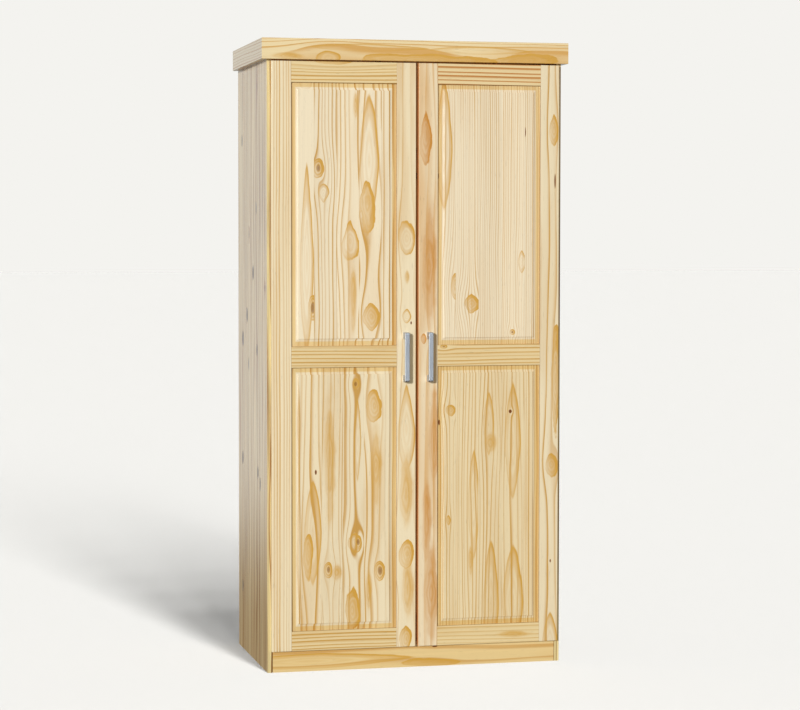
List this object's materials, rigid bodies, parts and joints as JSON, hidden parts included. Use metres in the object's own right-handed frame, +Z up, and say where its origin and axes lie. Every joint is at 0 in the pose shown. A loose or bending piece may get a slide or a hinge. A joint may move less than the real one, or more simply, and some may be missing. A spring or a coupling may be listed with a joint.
{
  "type": "wardrobe with doors",
  "caption": "Free-standing pine wardrobe: framed doors with raised panels on concealed hinges, bow handles, mitred crown, plinth, hat shelf and hanging rail.",
  "frame": {"origin": "floor level, middle of the overall width and depth with the handles included", "axes": "+Z up, the doors face -Y, +X towards the right-hand door as seen from the front"},
  "size_m": [0.951, 0.5476, 1.9],
  "materials": {
    "side_panel_pine": "clear-lacquered glued pine board",
    "inner_board_pine": "clear-lacquered glued pine board",
    "front_board_pine": "clear-lacquered pine",
    "door_frame_pine": "clear-lacquered pine",
    "door_panel_pine": "clear-lacquered pine",
    "back_hardboard": "thin board, smooth outside",
    "joint_strip_plastic": "matt brown plastic",
    "dowel_beech": "raw beech",
    "handle_metal": "satin brushed metal",
    "rail_chrome": "bright plated",
    "hinge_steel": "nickel-plated pressed steel",
    "screw_steel": "zinc-plated steel"
  },
  "bodies": {
    "carcass": {"left_side_panel": "side_panel_pine", "right_side_panel": "side_panel_pine", "floor_board": "inner_board_pine", "roof_board": "inner_board_pine", "hat_shelf": "inner_board_pine", "plinth_board": "front_board_pine", "crown_front_board": "front_board_pine", "left_crown_board": "front_board_pine", "right_crown_board": "front_board_pine", "left_back_panel": "back_hardboard", "right_back_panel": "back_hardboard", "back_joint_strip": "joint_strip_plastic", "connecting_dowels": "dowel_beech", "hanging_rail": "rail_chrome", "left_rail_socket": "rail_chrome", "right_rail_socket": "rail_chrome", "left_bottom_hinge_arm": "hinge_steel", "left_middle_hinge_arm": "hinge_steel", "left_top_hinge_arm": "hinge_steel", "right_bottom_hinge_arm": "hinge_steel", "right_middle_hinge_arm": "hinge_steel", "right_top_hinge_arm": "hinge_steel", "left_hinge_plates": "hinge_steel", "right_hinge_plates": "hinge_steel", "rail_socket_screws": "screw_steel", "crown_screws": "screw_steel", "back_panel_nails": "screw_steel", "cam_bolts": "screw_steel", "cam_discs": "screw_steel", "shelf_pins": "screw_steel", "plate_screws": "screw_steel", "arm_screws": "screw_steel"},
    "left_door": {"left_door_outer_stile": "door_frame_pine", "left_door_inner_stile": "door_frame_pine", "left_door_top_rail": "door_frame_pine", "left_door_middle_rail": "door_frame_pine", "left_door_bottom_rail": "door_frame_pine", "left_door_upper_panel": "door_panel_pine", "left_door_lower_panel": "door_panel_pine", "left_door_handle": "handle_metal", "left_bottom_hinge_cup": "hinge_steel", "left_middle_hinge_cup": "hinge_steel", "left_top_hinge_cup": "hinge_steel", "left_hinge_pins": "hinge_steel", "left_cup_screws": "screw_steel", "left_handle_screws": "screw_steel"},
    "right_door": {"right_door_outer_stile": "door_frame_pine", "right_door_inner_stile": "door_frame_pine", "right_door_top_rail": "door_frame_pine", "right_door_middle_rail": "door_frame_pine", "right_door_bottom_rail": "door_frame_pine", "right_door_upper_panel": "door_panel_pine", "right_door_lower_panel": "door_panel_pine", "right_door_handle": "handle_metal", "right_bottom_hinge_cup": "hinge_steel", "right_middle_hinge_cup": "hinge_steel", "right_top_hinge_cup": "hinge_steel", "right_hinge_pins": "hinge_steel", "right_cup_screws": "screw_steel", "right_handle_screws": "screw_steel"}
  },
  "joints": [
    {"name": "left_door_hinge", "type": "hinge", "parent": "carcass", "child": "left_door", "pos_m": [-0.4385, -0.23675, 0.949], "axis": [0, 0, -1], "range_deg": [0, 95]},
    {"name": "right_door_hinge", "type": "hinge", "parent": "carcass", "child": "right_door", "pos_m": [0.4385, -0.23675, 0.949], "axis": [0, 0, 1], "range_deg": [0, 95]}
  ]
}
